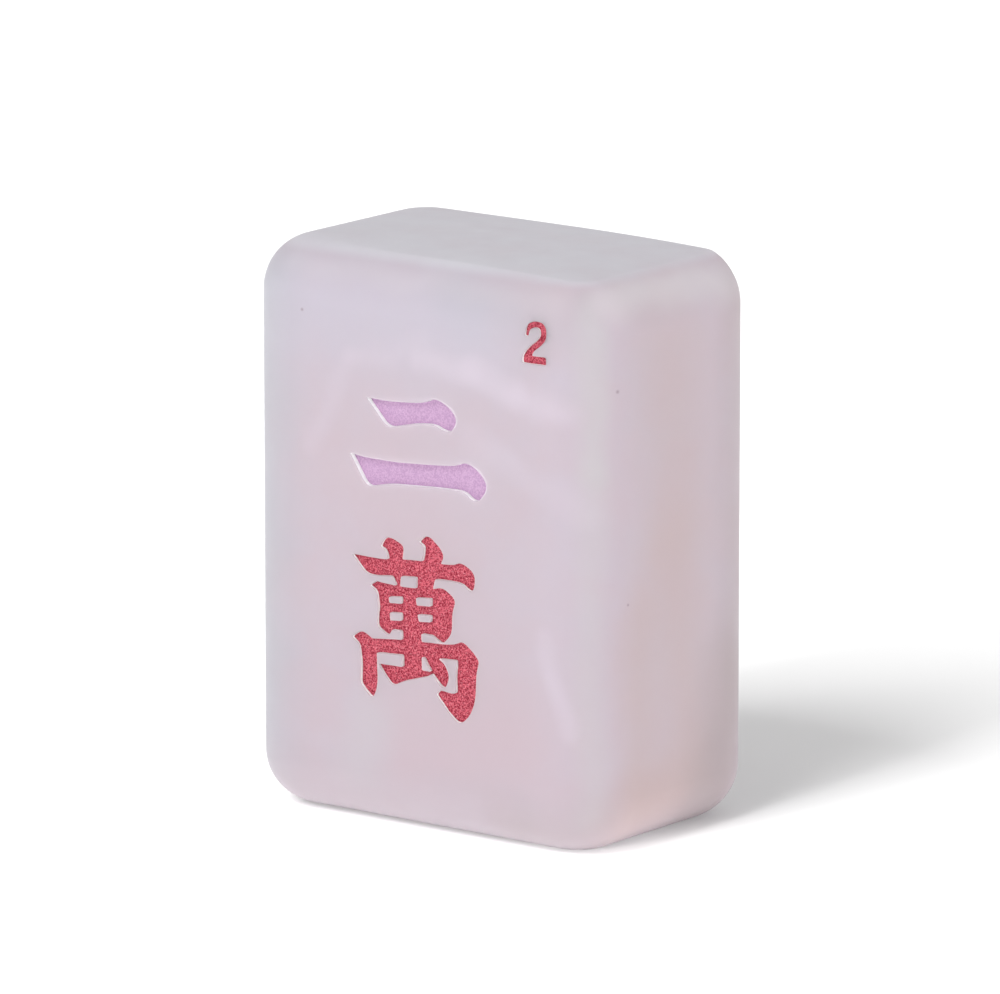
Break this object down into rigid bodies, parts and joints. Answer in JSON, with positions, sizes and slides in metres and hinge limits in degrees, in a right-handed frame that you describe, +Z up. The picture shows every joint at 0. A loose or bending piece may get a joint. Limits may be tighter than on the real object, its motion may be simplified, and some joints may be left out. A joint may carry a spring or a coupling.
{
  "type": "mahjong tile",
  "caption": "Upright game tile: a rounded block of milky pink resin with engraved and painted rank and suit marks on its front face, to stand, lie or stack in play.",
  "frame": {"origin": "middle of the base, on the surface that the tile stands on", "axes": "+Z up; the marked face looks along -Y; +X to the right of a person who looks at the marked face"},
  "size_m": [0.023, 0.015, 0.03],
  "materials": {
    "resin": "milky translucent cast resin with faint lilac and pink swirls, satin polish",
    "red_paint": "dull rose-red paint with a fine grain",
    "lilac_paint": "dull lilac paint with a fine grain"
  },
  "bodies": {
    "root": {"tile_body": "resin", "corner_numeral_paint": "red_paint", "upper_stroke_paint": "lilac_paint", "lower_stroke_paint": "lilac_paint", "suit_character_paint": "red_paint"}
  },
  "joints": []
}
